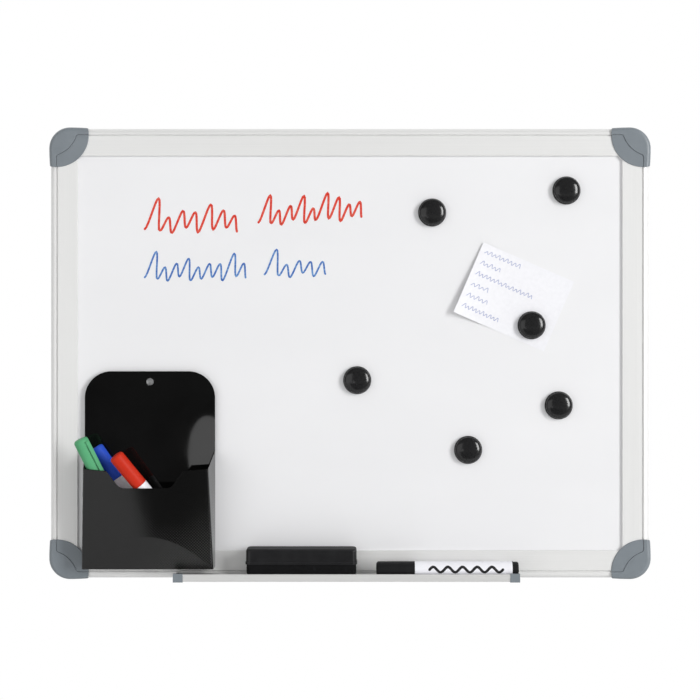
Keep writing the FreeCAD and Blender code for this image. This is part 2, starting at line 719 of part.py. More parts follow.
def pouch_trim():
    """All that is cut away above the pouch's slanting rim, and the finger notch in its front."""
    drop = (POUCH_BACK_HEIGHT - POUCH_FRONT_HEIGHT) / POUCH_MOUTH_DEPTH
    front = 2 * POUCH_MOUTH_DEPTH
    rim_back = pocket_foot + POUCH_BACK_HEIGHT

    def side_point(depth, z):
        return Vector(pocket_left - POUCH_EDGE, -POCKET_FRONT - depth, z)

    above = Part.Face(closed_wire(
        side_point(0, rim_back),
        side_point(front, rim_back - front * drop),
        side_point(front, rim_back + front),
        side_point(0, rim_back + front),
    )).extrude(RIGHTWARD * (POCKET_WIDTH + 2 * POUCH_EDGE))
    rim_front = pocket_foot + POUCH_FRONT_HEIGHT
    slant = (NOTCH_TOP_WIDTH - NOTCH_FOOT_WIDTH) / 2 / NOTCH_DEPTH

    def notch_point(x, z):
        return Vector(pocket_middle + x, -POCKET_FRONT - POUCH_FOOT_DEPTH, rim_front + z)

    half_foot = NOTCH_FOOT_WIDTH / 2
    half_far = half_foot + slant * 2 * NOTCH_DEPTH
    notch = Part.Face(closed_wire(
        notch_point(-half_foot, -NOTCH_DEPTH),
        notch_point(half_foot, -NOTCH_DEPTH),
        notch_point(half_far, NOTCH_DEPTH),
        notch_point(-half_far, NOTCH_DEPTH),
    )).extrude(-INTO_WALL * front)
    lower = [edge for edge in notch.Edges
             if edge.BoundBox.YLength > PRESS_CLEARANCE and edge.BoundBox.ZMax < rim_front]
    return above.fuse(notch.makeFillet(NOTCH_ROUND, lower))


nodes["pocket_back"] = pocket_back()
nodes["pocket_pouch"] = pouch_volume(0).cut(pouch_volume(POUCH_SHEET)).cut(pouch_trim())


def magnet_strip(z0):
    return block(pocket_middle - STRIP_LENGTH / 2, pocket_middle + STRIP_LENGTH / 2,
                 FACE + CONTACT_GAP, POCKET_BACK, z0, z0 + STRIP_WIDTH)


nodes["pocket_magnet_strips"] = Part.makeCompound([
    magnet_strip(pocket_top - STRIP_DROP - STRIP_WIDTH),
    magnet_strip(pocket_foot + STRIP_RAISE),
])

for colour, share in POCKET_MARKER_SHARES.items():
    lean = Rotation(INTO_WALL, -MARKER_LEAN[colour])
    tip = Rotation(RIGHTWARD, MARKER_TIP[colour])
    turn = tip.multiply(lean)
    upright_share = turn.multVec(UPWARD).z
    sideways_share = math.sqrt(1 - upright_share ** 2)
    rise = (marker_radius - PLUG_INSET - CAP_ROUND) * sideways_share + CAP_ROUND * (1 - upright_share)
    rear = Vector(
        pocket_left + share * POCKET_WIDTH,
        -POCKET_FRONT - marker_radius - MARKER_BACK_GAP - CLIP_STANDOFF - CLIP_THICKNESS,
        pocket_foot + POUCH_SHEET + MARKER_FOOT_GAP + rise,
    )
    add_marker(colour, Placement(rear, turn))


# Magnets: drawn around the Z axis with the contact face at the origin, then turned to face the viewer
def magnet_cap():
    radius = MAGNET_DIAMETER / 2
    room = DISC_DIAMETER / 2 + PRESS_CLEARANCE
    room_top = DISC_THICKNESS + PRESS_CLEARANCE
    waist = radius - MAGNET_STEP
    top = waist - MAGNET_SHOULDER_INSET
    bend = MAGNET_SHOULDER_INSET * MAGNET_TOP_ROUND_SHARE
    bend_rise = (MAGNET_SHOULDER_HEIGHT - MAGNET_SHOULDER_START) * (1 - MAGNET_TOP_ROUND_SHARE)
    dome = MAGNET_HEIGHT - MAGNET_SHOULDER_HEIGHT
    dome_radius = (top ** 2 + dome ** 2) / (2 * dome)
    dome_middle = MAGNET_HEIGHT - dome_radius + math.sqrt(dome_radius ** 2 - (top / 2) ** 2)

    def point(r, z):
        return Vector(r, 0, z)

    outline = closed_wire(
        point(room, 0),
        point(radius, 0),
        point(radius, MAGNET_SKIRT - MAGNET_STEP),
        point(waist, MAGNET_SKIRT),
        point(waist, MAGNET_SHOULDER_START),
        (point(waist - bend, MAGNET_SHOULDER_START + bend_rise), point(top, MAGNET_SHOULDER_HEIGHT)),
        (point(top / 2, dome_middle), point(0, MAGNET_HEIGHT)),
        point(0, room_top),
        point(room, room_top),
    )
    return Part.Face(outline).revolve(Vector(0, 0, 0), UPWARD, 360)


def add_magnet(letter, x, z, back):
    placement = Placement(Vector(x, -back, z), Rotation(RIGHTWARD, 90)).toMatrix()
    disc = Part.makeCylinder(DISC_DIAMETER / 2, DISC_THICKNESS)
    nodes["magnet_" + letter + "_cap"] = magnet_cap().transformed(placement)
    nodes["magnet_" + letter + "_disc"] = disc.transformed(placement)


for letter, (x_share, z_share) in MAGNET_PLACE_SHARES.items():
    add_magnet(letter, x_share * BOARD_WIDTH, z_share * BOARD_HEIGHT, FACE + CONTACT_GAP)


# Paper note: flat under its magnet, its left end curling off the board, most at the lower corner
def note_edge(down, lift):
    """Section of the note along one of its long edges: a flat run and a curl that rises to the left."""
    back = FACE + CONTACT_GAP
    flat = NOTE_WIDTH * NOTE_FLAT_SHARE

    def point(along, rise):
        return Vector(along, -back - rise, -down)

    middle = lift / 4
    return closed_wire(
        point(NOTE_WIDTH, 0),
        point(NOTE_WIDTH, NOTE_THICKNESS),
        point(flat, NOTE_THICKNESS),
        (point(flat / 2, NOTE_THICKNESS + middle), point(0, NOTE_THICKNESS + lift)),
        point(0, lift),
        (point(flat / 2, middle), point(flat, 0)),
    )


note = Part.makeLoft([note_edge(0, NOTE_LIFT_TOP), note_edge(NOTE_HEIGHT, NOTE_LIFT_FOOT)], True, True)
note_place = Placement(
    Vector(NOTE_CORNER_SHARES[0] * BOARD_WIDTH, 0, NOTE_CORNER_SHARES[1] * BOARD_HEIGHT),
    Rotation(INTO_WALL, NOTE_TURN),
)
nodes["note_sheet"] = note.transformed(note_place.toMatrix())
held_along = NOTE_MAGNET_SHARES[0] * NOTE_WIDTH
held_down = NOTE_MAGNET_SHARES[1] * NOTE_HEIGHT
held = note_place.multVec(Vector(held_along, 0, -held_down))
add_magnet("c", held.x, held.z, FACE + CONTACT_GAP + NOTE_THICKNESS + CONTACT_GAP)

os.makedirs("parts", exist_ok=True)
for name, shape in nodes.items():
    piece = shape.Solids[0] if len(shape.Solids) == 1 else shape
    piece.exportStep("parts/" + name + ".step")
    print(name, piece.ShapeType, piece.isValid(), round(piece.Volume), "mm3")
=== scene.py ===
# %% [markdown]
# # A framed magnetic whiteboard, dressed around its solids
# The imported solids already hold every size, place and moving joint of the board, its pens, magnets and
# note. What they lack is what the eye reads first: light, finishes, ink and fibre. We load the solids as a
# fixed frame and measure them once, because every later cell asks them where things are instead of
# repeating numbers.

# %% Load the solids and measure them
import math
import bmesh
import bpy
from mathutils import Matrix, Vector, noise
from mathutils.bvhtree import BVHTree


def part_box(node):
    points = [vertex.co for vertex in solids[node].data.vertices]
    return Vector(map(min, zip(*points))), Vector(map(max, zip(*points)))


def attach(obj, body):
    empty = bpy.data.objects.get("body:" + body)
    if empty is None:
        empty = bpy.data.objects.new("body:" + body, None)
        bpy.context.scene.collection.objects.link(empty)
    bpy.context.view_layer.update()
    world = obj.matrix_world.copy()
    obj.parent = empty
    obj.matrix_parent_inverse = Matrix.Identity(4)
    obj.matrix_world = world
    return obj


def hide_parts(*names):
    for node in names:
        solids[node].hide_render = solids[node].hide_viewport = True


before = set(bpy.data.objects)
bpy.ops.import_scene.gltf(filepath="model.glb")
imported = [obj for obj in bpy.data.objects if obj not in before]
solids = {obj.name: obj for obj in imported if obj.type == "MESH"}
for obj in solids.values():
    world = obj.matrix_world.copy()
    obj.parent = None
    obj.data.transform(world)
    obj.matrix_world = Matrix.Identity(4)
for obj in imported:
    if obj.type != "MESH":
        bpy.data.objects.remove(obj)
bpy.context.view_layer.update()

MM = 0.001

# %% [markdown]
# ## The camera
# A product photograph of a flat board is taken square on, from far enough away that the frame's sides
# hardly show. We could aim by eye; it is steadier to state the distance and the width seen at the frame's
# front, and let the lens follow from the two: lens length is to sensor width as distance is to width seen.

# %% Camera square to the board
VIEW_DISTANCE = 1.5
VIEW_WIDTH = 0.7
EYE_HEIGHT = 3.25 * MM
SENSOR = 36.0

frame_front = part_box("frame_rail_left")[0].y
camera_data = bpy.data.cameras.new("board_camera")
camera_data.sensor_width = SENSOR
camera_data.lens = SENSOR * VIEW_DISTANCE / VIEW_WIDTH
camera = bpy.data.objects.new("board_camera", camera_data)
camera.location = (0, frame_front - VIEW_DISTANCE, EYE_HEIGHT)
camera.rotation_euler = (math.pi / 2, 0, 0)
scene = bpy.context.scene
scene.collection.objects.link(camera)
scene.camera = camera
scene.view_settings.view_transform = "Standard"
print("lens:", round(camera_data.lens, 1), "mm, camera at", [round(v, 3) for v in camera.location])

# %% [markdown]
# ## The room around the board
# Glossy black plastic shows the room it stands in, so the room matters even when it is out of sight. Here
# the wall behind is white, the floor in front is pale and the space behind the photographer is dim. A world
# shader can tell these apart by the direction of a ray. Rays from the camera always find plain white, and
# shiny surfaces find the same white behind the board; only the light that scatters off dull surfaces is
# held back, so that a pale colour does not burn out.

# %% World: white behind, pale below, dim in front
ROOM_DIM = 0.08
ROOM_SOFT = 0.5
ROOM_FLOOR = 0.4
WALL_LIGHT = 0.5
FLOOR_BLEND = (-0.3, 0.0)
WALL_BLEND = (-0.25, 0.15)
RANGE_SOCKETS = ("From Min", "From Max", "To Min", "To Max")
MIX_NUMBERS = (2, 3)
MIX_COLOURS = (6, 7)
MIXED_COLOUR = 2

world = bpy.data.worlds.new("studio_room")
scene.world = world
world.use_nodes = True
room = world.node_tree
room.nodes.clear()


def room_node(kind, **settings):
    node = room.nodes.new(kind)
    for key, value in settings.items():
        setattr(node, key, value)
    return node


def room_range(source, low, high, start, end):
    """A smooth step of the room: from one brightness to another as a direction turns."""
    step = room_node("ShaderNodeMapRange", interpolation_type="SMOOTHSTEP")
    for socket, value in zip(RANGE_SOCKETS, (low, high, start, end)):
        step.inputs[socket].default_value = value
    room.links.new(source, step.inputs["Value"])
    return step.outputs["Result"]


def room_mix(factor, first, second):
    """Brightness between two others, each a number or a socket."""
    mix = room_node("ShaderNodeMix")
    room.links.new(factor, mix.inputs[0])
    for place, value in zip(MIX_NUMBERS, (first, second)):
        if isinstance(value, float):
            mix.inputs[place].default_value = value
        else:
            room.links.new(value, mix.inputs[place])
    return mix.outputs[0]


direction = room_node("ShaderNodeSeparateXYZ")
room.links.new(room_node("ShaderNodeTexCoord").outputs["Generated"], direction.inputs["Vector"])
ray = room_node("ShaderNodeLightPath")
shiny = room_node("ShaderNodeMath", operation="MAXIMUM")
room.links.new(ray.outputs["Is Glossy Ray"], shiny.inputs[0])
room.links.new(ray.outputs["Is Transmission Ray"], shiny.inputs[1])
upper_part = room_mix(shiny.outputs[0], ROOM_SOFT, ROOM_DIM)
below = room_range(direction.outputs["Z"], *FLOOR_BLEND, 1.0, 0.0)
front_part = room_mix(below, upper_part, ROOM_FLOOR)
wall_part = room_mix(shiny.outputs[0], WALL_LIGHT, 1.0)
behind = room_range(direction.outputs["Y"], *WALL_BLEND, 0.0, 1.0)
surround = room_mix(behind, front_part, wall_part)
brightness = room_mix(ray.outputs["Is Camera Ray"], surround, 1.0)
glow = room_node("ShaderNodeBackground")
glow.inputs["Color"].default_value = (1, 1, 1, 1)
room.links.new(brightness, glow.inputs["Strength"])
room.links.new(glow.outputs[0], room_node("ShaderNodeOutputWorld").inputs["Surface"])
print("room nodes:", len(room.nodes))

# %% [markdown]
# ## The lamps
# One tall softbox to the right and a little above gives the upright streak on every magnet and the soft
# shadows to their left. A large dim card on the left fills those shadows and shows as the paler left third
# of each magnet, and a small card low down shows as a grey patch in the polished pocket. An area lamp is the
# natural choice for all three: its size alone sets how soft a shadow's edge is.

# %% Softboxes
LAMP_AIM = Vector((0, 0, 0))


def softbox(name, place, width, height, watts, shape="RECTANGLE"):
    lamp = bpy.data.lights.new(name, "AREA")
    lamp.shape = shape
    lamp.size = width
    lamp.size_y = height
    lamp.energy = watts
    holder = bpy.data.objects.new(name, lamp)
    holder.location = place
    holder.rotation_euler = (LAMP_AIM - Vector(place)).to_track_quat("-Z", "Y").to_euler()
    scene.collection.objects.link(holder)
    return holder


lamps = [
    softbox("tall_softbox", place=(3.4, -3.1, 0.9), width=1.2, height=2.6, watts=131),
    softbox("left_card", place=(-1.8, -2.2, 0.1), width=2.4, height=2.2, watts=14),
    softbox("small_card", place=(-0.283, -1.51, -0.205), width=0.08, height=0.155, watts=0.08,
            shape="ELLIPSE"),
]
print("lamps in watts:", [lamp.data.energy for lamp in lamps])

# %% [markdown]
# ## The floor
# The board hangs on a wall, so nothing touches the floor, but a pale floor still lights the underside of
# the tray and shows in the pen pocket. A plain sheet with a slightly clouded paint is enough. Seen from the
# camera it is lifted most of the way to white, and keeps a part of its shading so that shadows stay. Shiny
# surfaces alone also find a dark mat, laid askew on its right side. The floor is painted dark there for
# glossy rays only, a painted reflection, because a plain floor would make the front of the pocket one even
# grey.

# %% Floor
FLOOR_LEVEL = -0.55
FLOOR_NEAR = -3.0
FLOOR_FAR = 0.8
FLOOR_SIDE = 2.5
FLOOR_LIFT = 0.8
# The mat is a painted reflection: the floor turns dark there for glossy rays only.
MAT_TURN = math.radians(36)
MAT_LEFT = 0.29
MAT_FAR = -0.61
MAT_BLUR = 0.015
PAINTED_REFLECTION_TONE = (0.02, 0.02, 0.02)

floor_mesh = bpy.data.meshes.new("studio_floor")
floor_corners = [
    (-FLOOR_SIDE, FLOOR_NEAR, FLOOR_LEVEL),
    (FLOOR_SIDE, FLOOR_NEAR, FLOOR_LEVEL),
    (FLOOR_SIDE, FLOOR_FAR, FLOOR_LEVEL),
    (-FLOOR_SIDE, FLOOR_FAR, FLOOR_LEVEL),
]
floor_mesh.from_pydata(floor_corners, [], [(0, 1, 2, 3)])
studio_floor = bpy.data.objects.new("studio_floor", floor_mesh)
scene.collection.objects.link(studio_floor)
print("floor at", FLOOR_LEVEL, "m")

# %% [markdown]
# ## Tools for finishes
# Every finish below is one shader fed by a few textures, so we make small tools for the steps that repeat:
# a new finish, a noise in the piece's own coordinates (stretched, it becomes brushing or fibre), a colour
# or roughness that follows a texture, a fine relief, and a mask that finds the edges of a solid. The mask
# compares the true normal with one rounded over the edge, which is how we get worn and softened edges on
# solids whose mesh stays untouched.

# %% Tools: new finish, noise, colour, roughness
def new_finish(name, **settings):
    material = bpy.data.materials.new(name)
    material.use_nodes = True
    shader = material.node_tree.nodes["Principled BSDF"]
    for socket, value in settings.items():
        shader.inputs[socket.replace("_", " ")].default_value = value
    return material, material.node_tree, shader


def own_place(tree, stretch=(1, 1, 1), turn=(0, 0, 0)):
    """The piece's own coordinates, in metres, stretched and turned."""
    mapping = tree.nodes.new("ShaderNodeMapping")
    mapping.inputs["Scale"].default_value = stretch
    mapping.inputs["Rotation"].default_value = turn
    tree.links.new(tree.nodes.new("ShaderNodeTexCoord").outputs["Object"], mapping.inputs["Vector"])
    return mapping.outputs["Vector"]


def axes(tree, vector):
    """The x, y and z parts of a vector, as sockets named X, Y and Z."""
    split = tree.nodes.new("ShaderNodeSeparateXYZ")
    tree.links.new(vector, split.inputs["Vector"])
    return split.outputs


def upward_part(tree):
    """How far a face looks up: one on top, zero on an upright wall."""
    return axes(tree, tree.nodes.new("ShaderNodeNewGeometry").outputs["Normal"])["Z"]


def grain(tree, scale, stretch=(1, 1, 1), detail=3.0):
    texture = tree.nodes.new("ShaderNodeTexNoise")
    texture.inputs["Scale"].default_value = scale
    texture.inputs["Detail"].default_value = detail
    tree.links.new(own_place(tree, stretch), texture.inputs["Vector"])
    return texture.outputs["Fac"]


def ramp(tree, source, dark, light, low=0.3, high=0.7):
    colours = tree.nodes.new("ShaderNodeValToRGB")
    colours.color_ramp.elements[0].position = low
    colours.color_ramp.elements[1].position = high
    colours.color_ramp.elements[0].color = (*dark, 1)
    colours.color_ramp.elements[1].color = (*light, 1)
    tree.links.new(source, colours.inputs["Fac"])
    return colours.outputs["Color"]


def numbers(tree, source, first, last, low=0.3, high=0.7):
    spread = tree.nodes.new("ShaderNodeMapRange")
    for socket, value in zip(RANGE_SOCKETS, (low, high, first, last)):
        spread.inputs[socket].default_value = value
    tree.links.new(source, spread.inputs["Value"])
    return spread.outputs["Result"]


def product(tree, first, second):
    """One texture value times another, or times a number."""
    times = tree.nodes.new("ShaderNodeMath")
    times.operation = "MULTIPLY"
    tree.links.new(first, times.inputs[0])
    if isinstance(second, float):
        times.inputs[1].default_value = second
    else:
        tree.links.new(second, times.inputs[1])
    return times.outputs[0]


print("finish tools ready")

# %% Tools: relief, soft edges and dressing
def relief(tree, shader, source, height, edge=0.0):
    """Fine relief in metres, on normals that are rounded over the solid's edges where an edge is given."""
    bump = tree.nodes.new("ShaderNodeBump")
    bump.inputs["Distance"].default_value = height
    tree.links.new(source, bump.inputs["Height"])
    if edge > 0:
        soft = tree.nodes.new("ShaderNodeBevel")
        soft.inputs["Radius"].default_value = edge
        tree.links.new(soft.outputs["Normal"], bump.inputs["Normal"])
    tree.links.new(bump.outputs["Normal"], shader.inputs["Normal"])


def edge_mask(tree, reach):
    """One along the edges of a solid, zero on its faces."""
    soft = tree.nodes.new("ShaderNodeBevel")
    soft.inputs["Radius"].default_value = reach
    likeness = tree.nodes.new("ShaderNodeVectorMath")
    likeness.operation = "DOT_PRODUCT"
    tree.links.new(soft.outputs["Normal"], likeness.inputs[0])
    tree.links.new(tree.nodes.new("ShaderNodeNewGeometry").outputs["True Normal"], likeness.inputs[1])
    return numbers(tree, likeness.outputs["Value"], 1.0, 0.0, low=0.8, high=0.98)


def mixed(tree, factor, first, second):
    """A colour between two colours or colour sockets."""
    mix = tree.nodes.new("ShaderNodeMix")
    mix.data_type = "RGBA"
    tree.links.new(factor, mix.inputs[0])
    for place, value in zip(MIX_COLOURS, (first, second)):
        if isinstance(value, tuple):
            mix.inputs[place].default_value = (*value, 1)
        else:
            tree.links.new(value, mix.inputs[place])
    return mix.outputs[MIXED_COLOUR]


def dress(material, *names):
    for name in names:
        slots = solids[name].data.materials
        slots.clear()
        slots.append(material)
    print(material.name, "on", len(names), "solids")


# %% Floor paint
floor_paint, tree, shader = new_finish("floor_paint", Roughness=0.7)
clouds = ramp(tree, grain(tree, 3.0), (0.8, 0.8, 0.8), (0.84, 0.84, 0.84))
across = axes(tree, own_place(tree, turn=(0, 0, MAT_TURN)))["X"]
ahead = axes(tree, own_place(tree))["Y"]
past_left = numbers(tree, across, 0.0, 1.0, low=MAT_LEFT, high=MAT_LEFT + MAT_BLUR)
before_far = numbers(tree, ahead, 1.0, 0.0, low=MAT_FAR - MAT_BLUR, high=MAT_FAR)
on_mat = product(tree, past_left, before_far)
path = tree.nodes.new("ShaderNodeLightPath")
# Painted reflection: the dark mat is shown to glossy rays alone.
painted_reflection_mat = product(tree, on_mat, path.outputs["Is Glossy Ray"])
tree.links.new(mixed(tree, painted_reflection_mat, clouds, PAINTED_REFLECTION_TONE), shader.inputs["Base Color"])
lift = tree.nodes.new("ShaderNodeMixShader")
tree.links.new(product(tree, path.outputs["Is Camera Ray"], FLOOR_LIFT), lift.inputs["Fac"])
tree.links.new(shader.outputs[0], lift.inputs[1])
tree.links.new(tree.nodes.new("ShaderNodeEmission").outputs[0], lift.inputs[2])
tree.links.new(lift.outputs[0], tree.nodes["Material Output"].inputs["Surface"])
floor_mesh.materials.append(floor_paint)
print("floor painted")

# %% [markdown]
# ## The writing sheet
# The face is steel with a baked white lacquer: smooth, a little glossy, and never quite clean. We give it a
# faint haze from old wiping, drawn out sideways as an eraser leaves it, and the very fine ripple that a
# baked lacquer has. Both stay small, because a strong haze would read as dirt.

# %% White lacquer
lacquer, tree, shader = new_finish("white_lacquer", Specular_IOR_Level=0.5)
haze = grain(tree, 7.0, (0.6, 1, 1.6))
tree.links.new(ramp(tree, haze, (0.845, 0.845, 0.858), (0.866, 0.866, 0.878)), shader.inputs["Base Color"])
tree.links.new(numbers(tree, haze, 0.3, 0.38), shader.inputs["Roughness"])
relief(tree, shader, grain(tree, 420.0), 0.004 * MM)
dress(lacquer, "writing_sheet")

# %% [markdown]
# ## Behind the sheet
# The core is grey-brown pressed fibre and the back a thin zinc-coated steel. Zinc crystallises in flat
# patches, and a Voronoi pattern, whose cells each have one value, is the shortest way to such spangles.

# %% Fibre core and zinc backing
fibre_core, tree, shader = new_finish("fibre_core", Roughness=0.9)
flecks = grain(tree, 300.0, (1, 1, 3))
tree.links.new(ramp(tree, flecks, (0.36, 0.28, 0.2), (0.6, 0.5, 0.38)), shader.inputs["Base Color"])
relief(tree, shader, flecks, 0.1 * MM)
dress(fibre_core, "board_core")

zinc, tree, shader = new_finish("zinc_backing", Metallic=0.85)
spangle = tree.nodes.new("ShaderNodeTexVoronoi")
spangle.inputs["Scale"].default_value = 70.0
tree.links.new(own_place(tree), spangle.inputs["Vector"])
patches = ramp(tree, spangle.outputs["Color"], (0.55, 0.57, 0.59), (0.61, 0.63, 0.65))
tree.links.new(patches, shader.inputs["Base Color"])
tree.links.new(numbers(tree, spangle.outputs["Color"], 0.38, 0.55), shader.inputs["Roughness"])
dress(zinc, "backing_sheet")

# %% [markdown]
# ## Frame rails
# The rails are drawn aluminium with a satin anodised skin. Drawing leaves hair lines along the rail, so
# upright rails and level rails need the same finish turned a quarter. A noise squeezed hard across the rail
# and stretched along it gives those lines; it feeds colour, roughness and relief together so they agree.

# %% Anodised aluminium along each rail
LEVEL_LINES = (0.002, 1.0, 1.0)
UPRIGHT_LINES = (1.0, 1.0, 0.002)


def anodised(name, lines, dark, light):
    material, tree, shader = new_finish(name, Metallic=0.2)
    hair = grain(tree, 2600.0, lines, detail=2.0)
    body = ramp(tree, hair, dark, light)
    # Lighter edges: partly wear, partly a painted highlight.
    worn_and_highlight_edges = mixed(tree, edge_mask(tree, 0.35 * MM), body, (0.9, 0.9, 0.9))
    tree.links.new(worn_and_highlight_edges, shader.inputs["Base Color"])
    tree.links.new(numbers(tree, hair, 0.36, 0.46), shader.inputs["Roughness"])
    relief(tree, shader, hair, 0.006 * MM, edge=0.25 * MM)
    return material


RAIL_TONES = ((0.86, 0.86, 0.85), (0.89, 0.89, 0.88))
level_rail = anodised("anodised_level", LEVEL_LINES, *RAIL_TONES)
upright_rail = anodised("anodised_upright", UPRIGHT_LINES, *RAIL_TONES)
dress(level_rail, "frame_rail_top", "frame_rail_bottom")
dress(upright_rail, "frame_rail_left", "frame_rail_right")

# %% [markdown]
# ## Grey plastic corners and tray ends
# Moulded blue-grey plastic with the fine spark-eroded grain of its mould, a touch shinier where hands have
# polished the edges. The edges are also coloured a lighter grey, partly as wear and partly as a painted
# highlight. The grain is a small relief rather than a colour, so that it only shows in raking light.

# %% Moulded grey plastic
grey, tree, shader = new_finish("grey_plastic", Specular_IOR_Level=0.6)
flow = grain(tree, 60.0)
rubbed_and_highlight_edges = edge_mask(tree, 0.6 * MM)
shade = ramp(tree, flow, (0.195, 0.222, 0.245), (0.215, 0.243, 0.268))
# The edges are painted lighter: partly wear, partly a painted highlight.
tree.links.new(mixed(tree, rubbed_and_highlight_edges, shade, (0.26, 0.29, 0.315)), shader.inputs["Base Color"])
tree.links.new(numbers(tree, rubbed_and_highlight_edges, 0.38, 0.28, low=0.0, high=1.0), shader.inputs["Roughness"])
relief(tree, shader, grain(tree, 2200.0), 0.012 * MM, edge=0.4 * MM)
CORNERS = ("tl", "tr", "bl", "br")
for place in CORNERS:
    dress(grey, "corner_cover_" + place, "corner_bracket_" + place)
dress(grey, "tray_end_cap_left", "tray_end_cap_right")

# %% [markdown]
# ## Pen tray
# The tray is the same drawn aluminium, a shade darker, and its floor collects the dust of dried ink. Dust
# settles on what faces up, so the mask is the upward part of the normal times a noise.

# %% Tray aluminium with dust
tray_metal = anodised("tray_aluminium", LEVEL_LINES, (0.68, 0.68, 0.67), (0.75, 0.75, 0.74))
tree = tray_metal.node_tree
shader = tree.nodes["Principled BSDF"]
upward = numbers(tree, upward_part(tree), 0.0, 0.5, low=0.8, high=1.0)
drifts = numbers(tree, grain(tree, 120.0, (0.5, 1, 1)), 0.0, 1.0, low=0.45, high=0.7)
settled = product(tree, upward, drifts)
bare_metal = shader.inputs["Base Color"].links[0].from_socket
tree.links.new(mixed(tree, settled, bare_metal, (0.3, 0.3, 0.32)), shader.inputs["Base Color"])
dress(tray_metal, "tray_rail")

# %% [markdown]
# ## Eraser
# Its cover and base are black moulded plastic, shiny at the sides and dulled on top by the hand that holds
# it, so the roughness follows the upward part of the normal. The felt under them is wool pressed into a
# block: no sharp edge, a napped skin and a ragged foot. The solid is too crisp for that, so a new block is
# woven from rings of points whose every point is pushed by a smooth noise, and it takes the solid's place.

# %% Satin black for cover and base
satin_black, tree, shader = new_finish("satin_black", Specular_IOR_Level=0.3)
rubbed_and_highlight_edges = edge_mask(tree, 0.8 * MM)
tone = ramp(tree, grain(tree, 90.0), (0.013, 0.013, 0.014), (0.018, 0.018, 0.019))
# Lighter edges: partly wear, partly a painted highlight.
tree.links.new(mixed(tree, rubbed_and_highlight_edges, tone, (0.035, 0.036, 0.038)), shader.inputs["Base Color"])
dulled = numbers(tree, upward_part(tree), 0.24, 0.7, low=0.2, high=0.8)
tree.links.new(dulled, shader.inputs["Roughness"])
relief(tree, shader, grain(tree, 1800.0), 0.01 * MM, edge=0.3 * MM)
dress(satin_black, "eraser_cover", "eraser_base")

# %% Felt finish
wool, tree, shader = new_finish("wool_felt", Roughness=0.95, Specular_IOR_Level=0.1, Sheen_Weight=0.05)
fibres = grain(tree, 900.0, (1, 1, 2.2), detail=6.0)
chalky = grain(tree, 160.0, detail=4.0)
tone = ramp(tree, fibres, (0.003, 0.003, 0.003), (0.011, 0.011, 0.012))
dusted = numbers(tree, chalky, 0.0, 0.3, low=0.6, high=0.8)
tree.links.new(mixed(tree, dusted, tone, (0.025, 0.026, 0.03)), shader.inputs["Base Color"])
relief(tree, shader, fibres, 0.25 * MM)
print("felt finish ready")

# %% Felt block
FELT_NAP = 0.22 * MM
FELT_STEP = 1.0 * MM
FOOT_RINGS = 5
FELT_BEND = 5.0 * MM
FELT_FOOT_BEND = 4.0 * MM
NAP_SCALES = (700, 1900)
FINE_NAP_SHARE = 0.6
RAGGED_SHARE = 0.6
CORNER_STEPS = 4


def round_outline(low, high, bend, step):
    """Points around a level rectangle with rounded corners, a step apart."""
    x0, y0, x1, y1 = low.x + bend, low.y + bend, high.x - bend, high.y - bend
    points = []
    for quarter, (x, y) in enumerate(((x1, y1), (x0, y1), (x0, y0), (x1, y0))):
        for part in range(CORNER_STEPS + 1):
            angle = (quarter + part / CORNER_STEPS) * math.pi / 2
            points.append(Vector((x + bend * math.cos(angle), y + bend * math.sin(angle), 0)))
    even = []
    for here, there in zip(points, points[1:] + points[:1]):
        count = max(1, round((there - here).length / step))
        even += [here.lerp(there, part / count) for part in range(count)]
    return even


felt_low, felt_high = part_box("eraser_felt")
levels = []
for part in range(FOOT_RINGS + 1):
    angle = math.pi / 2 * part / FOOT_RINGS
    inset = FELT_FOOT_BEND * (1 - math.sin(angle))
    levels.append((felt_low.z + FELT_FOOT_BEND * (1 - math.cos(angle)), inset))
rise = felt_low.z + FELT_FOOT_BEND
levels += [(rise + part * FELT_STEP, 0) for part in range(1, int((felt_high.z - rise) / FELT_STEP))]
levels.append((felt_high.z, 0))
print("felt rings:", len(levels))

# %% Felt block: rings to mesh
weave = bmesh.new()
outline = round_outline(felt_low, felt_high, FELT_BEND, FELT_STEP)
count = len(outline)
middle = (felt_low + felt_high) / 2
half = (felt_high - felt_low) / 2
rings = []
for height, inset in levels:
    ring = []
    for point in outline:
        x = middle.x + (point.x - middle.x) * (half.x - inset) / half.x
        y = middle.y + (point.y - middle.y) * (half.y - inset) / half.y
        spot = Vector((x, y, height))
        coarse, fine = (noise.noise(spot * scale) for scale in NAP_SCALES)
        push = FELT_NAP * (1 + coarse + FINE_NAP_SHARE * fine)
        spot -= Vector((point.x - middle.x, point.y - middle.y, 0)).normalized() * push
        spot.z += push * (RAGGED_SHARE if inset > 0 else 0)
        ring.append(weave.verts.new(spot))
    rings.append(ring)
for lower, upper in zip(rings, rings[1:]):
    for k in range(count):
        weave.faces.new((lower[k], lower[(k + 1) % count], upper[(k + 1) % count], upper[k]))
weave.faces.new(list(reversed(rings[0])))
weave.faces.new(rings[-1])
bmesh.ops.recalc_face_normals(weave, faces=weave.faces)
felt_mesh = bpy.data.meshes.new("felt_block")
weave.to_mesh(felt_mesh)
weave.free()
felt_mesh.shade_smooth()
felt_mesh.materials.append(wool)
felt_block = bpy.data.objects.new("felt_block", felt_mesh)
scene.collection.objects.link(felt_block)
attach(felt_block, "eraser")
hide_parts("eraser_felt")
print("felt block:", len(felt_mesh.polygons), "faces")

# %% [markdown]
# ## Markers
# Barrels are glossy white plastic, caps and end plugs are coloured through, and both are turned smooth by
# polished moulds. What tells them from paint is the faint flow inside the plastic and a soft shine, so the
# colour drifts a little along each piece and the roughness with it.

